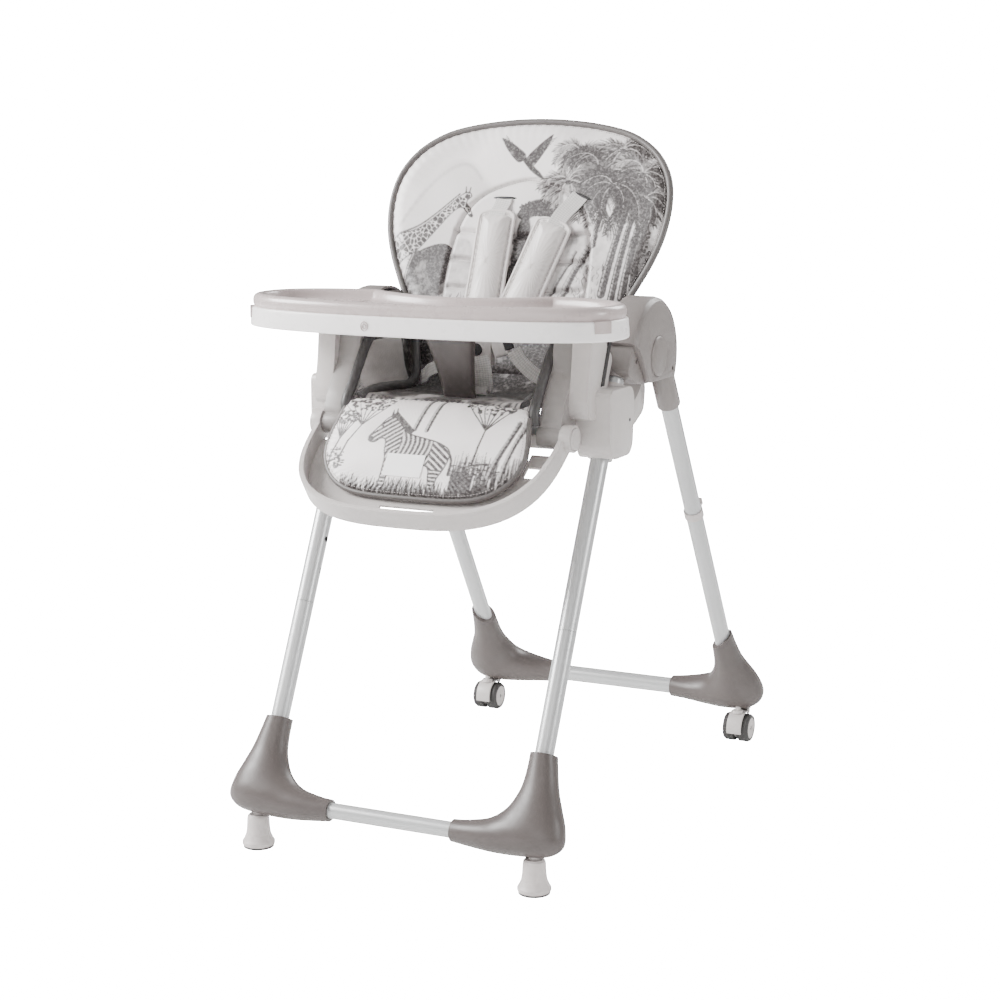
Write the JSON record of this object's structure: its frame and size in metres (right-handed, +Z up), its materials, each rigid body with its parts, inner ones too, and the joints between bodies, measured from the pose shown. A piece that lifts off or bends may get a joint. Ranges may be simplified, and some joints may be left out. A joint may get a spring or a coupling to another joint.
{
  "type": "baby high chair",
  "caption": "Folding baby high chair with tray, reclining padded seat, adjustable leg rest, harness and rear casters.",
  "frame": {"origin": "centre of the whole chair's footprint, on the floor, at the stored pose", "axes": "+X to the sitter's left, -Y the way the sitter faces, +Z up"},
  "size_m": [0.596, 0.9032, 1.0683],
  "materials": {
    "tube": "satin silver-grey powder coat",
    "boot": "fine-grained warm grey",
    "hub": "fine-grained warm grey",
    "foot": "satin pale grey",
    "rubber": "matt",
    "tyre": "satin",
    "steel": "satin",
    "screw": "dark",
    "pale": "satin pale grey",
    "grey": "satin mid grey",
    "cushion": "printed wipe-clean faux leather",
    "webbing": "woven",
    "strap_pad": "faux leather",
    "buckle_dark": "matt",
    "tray": "gloss white",
    "post": "satin dark grey",
    "insert": "satin warm grey"
  },
  "bodies": {
    "front_frame": {"front_upper_tube_left": "tube", "front_upper_tube_right": "tube", "front_lower_tube_left": "tube", "front_lower_tube_right": "tube", "front_boot_left": "boot", "front_boot_right": "boot", "front_hub_left": "hub", "front_hub_right": "hub", "bell_feet": "foot", "front_cross_bar": "tube", "foot_pads": "rubber", "pivot_bolts": "steel", "front_screws": "screw"},
    "rear_frame": {"rear_tube_left": "tube", "rear_tube_right": "tube", "rear_boot_left": "boot", "rear_boot_right": "boot", "rear_hub_left": "hub", "rear_hub_right": "hub", "rear_cross_bar": "tube", "tray_hooks": "pale", "rear_screws": "screw"},
    "fold_button_left": {"fold_button_left": "hub"},
    "fold_button_right": {"fold_button_right": "hub"},
    "seat": {"carriage_left": "pale", "carriage_right": "pale", "seat_cheeks": "grey", "seat_shell": "pale", "seat_pad": "cushion", "lap_webbing": "webbing", "buckle_body": "pale", "seat_screws": "screw"},
    "height_button_left": {"height_button_left": "grey"},
    "height_button_right": {"height_button_right": "grey"},
    "buckle_button": {"buckle_button": "buckle_dark"},
    "backrest": {"backrest_shell": "pale", "back_pad": "cushion", "shoulder_pad_left": "strap_pad", "shoulder_pad_right": "strap_pad"},
    "recline_handle": {"recline_handle": "grey"},
    "legrest": {"legrest_frame": "pale", "calf_pad": "cushion"},
    "legrest_button_left": {"legrest_button_left": "pale"},
    "legrest_button_right": {"legrest_button_right": "pale"},
    "tray": {"tray_base": "tray", "tray_deck": "tray", "crotch_post": "post"},
    "tray_insert": {"tray_insert": "insert", "tray_insert_floor": "insert"},
    "tray_release": {"tray_release": "insert"},
    "caster_fork_left": {"caster_housing_left": "pale", "caster_axle_left": "steel"},
    "caster_wheel_left": {"caster_wheels_left": "pale", "caster_tyres_left": "tyre"},
    "caster_brake_left": {"caster_brake_left": "boot"},
    "caster_fork_right": {"caster_housing_right": "pale", "caster_axle_right": "steel"},
    "caster_wheel_right": {"caster_wheels_right": "pale", "caster_tyres_right": "tyre"},
    "caster_brake_right": {"caster_brake_right": "boot"}
  },
  "joints": [
    {"name": "fold", "type": "hinge", "parent": "front_frame", "child": "rear_frame", "pos_m": [0, -0.0376, 0.724], "axis": [-1, 0, 0], "range_deg": [0, 52]},
    {"name": "fold_button_left", "type": "slide", "parent": "rear_frame", "child": "fold_button_left", "axis": [-1, 0, 0], "range_m": [0, 0.004], "stiffness_N_per_m": 600, "springref_m": -0.002},
    {"name": "caster_swivel_left", "type": "hinge", "parent": "rear_frame", "child": "caster_fork_left", "pos_m": [0.243, 0.3999, 0.04], "axis": [0, 0, 1], "continuous": true},
    {"name": "caster_roll_left", "type": "hinge", "parent": "caster_fork_left", "child": "caster_wheel_left", "pos_m": [0.243, 0.4069, 0.0245], "axis": [1, 0, 0], "continuous": true},
    {"name": "caster_brake_left", "type": "hinge", "parent": "caster_fork_left", "child": "caster_brake_left", "pos_m": [0.243, 0.4259, 0.0495], "axis": [-1, 0, 0], "range_deg": [0, 12]},
    {"name": "fold_button_right", "type": "slide", "parent": "rear_frame", "child": "fold_button_right", "axis": [1, 0, 0], "range_m": [0, 0.004], "stiffness_N_per_m": 600, "springref_m": -0.002},
    {"name": "caster_swivel_right", "type": "hinge", "parent": "rear_frame", "child": "caster_fork_right", "pos_m": [-0.243, 0.3999, 0.04], "axis": [0, 0, 1], "continuous": true},
    {"name": "caster_roll_right", "type": "hinge", "parent": "caster_fork_right", "child": "caster_wheel_right", "pos_m": [-0.243, 0.4069, 0.0245], "axis": [1, 0, 0], "continuous": true},
    {"name": "caster_brake_right", "type": "hinge", "parent": "caster_fork_right", "child": "caster_brake_right", "pos_m": [-0.243, 0.4259, 0.0495], "axis": [-1, 0, 0], "range_deg": [0, 12]},
    {"name": "seat_height", "type": "slide", "parent": "front_frame", "child": "seat", "axis": [0, 0.4384, 0.8988], "range_m": [-0.25, 0]},
    {"name": "height_button_left", "type": "slide", "parent": "seat", "child": "height_button_left", "axis": [0, -1, 0], "range_m": [0, 0.003], "stiffness_N_per_m": 500, "springref_m": -0.002},
    {"name": "height_button_right", "type": "slide", "parent": "seat", "child": "height_button_right", "axis": [0, -1, 0], "range_m": [0, 0.003], "stiffness_N_per_m": 500, "springref_m": -0.002},
    {"name": "recline", "type": "hinge", "parent": "seat", "child": "backrest", "pos_m": [0, -0.0506, 0.645], "axis": [-1, 0, 0], "range_deg": [0, 30]},
    {"name": "recline_handle", "type": "slide", "parent": "backrest", "child": "recline_handle", "axis": [0, 0.3649, 0.9311], "range_m": [0, 0.008], "stiffness_N_per_m": 500, "springref_m": -0.002},
    {"name": "legrest", "type": "hinge", "parent": "seat", "child": "legrest", "pos_m": [0, -0.2566, 0.625], "axis": [1, 0, 0], "range_deg": [-25, 45]},
    {"name": "legrest_button_left", "type": "slide", "parent": "legrest", "child": "legrest_button_left", "axis": [-1, 0, 0], "range_m": [0, 0.0025], "stiffness_N_per_m": 400, "springref_m": -0.002},
    {"name": "legrest_button_right", "type": "slide", "parent": "legrest", "child": "legrest_button_right", "axis": [1, 0, 0], "range_m": [0, 0.0025], "stiffness_N_per_m": 400, "springref_m": -0.002},
    {"name": "tray_slide", "type": "slide", "parent": "seat", "child": "tray", "axis": [0, -1, 0], "range_m": [0, 0.08]},
    {"name": "tray_insert_lift", "type": "slide", "parent": "tray", "child": "tray_insert", "axis": [0, 0, 1], "range_m": [0, 0.06]},
    {"name": "tray_release", "type": "slide", "parent": "tray", "child": "tray_release", "axis": [0, 1, 0], "range_m": [0, 0.005], "stiffness_N_per_m": 500, "springref_m": -0.002},
    {"name": "buckle_button", "type": "slide", "parent": "seat", "child": "buckle_button", "axis": [0, 1, 0], "range_m": [0, 0.003], "stiffness_N_per_m": 400, "springref_m": -0.002}
  ]
}
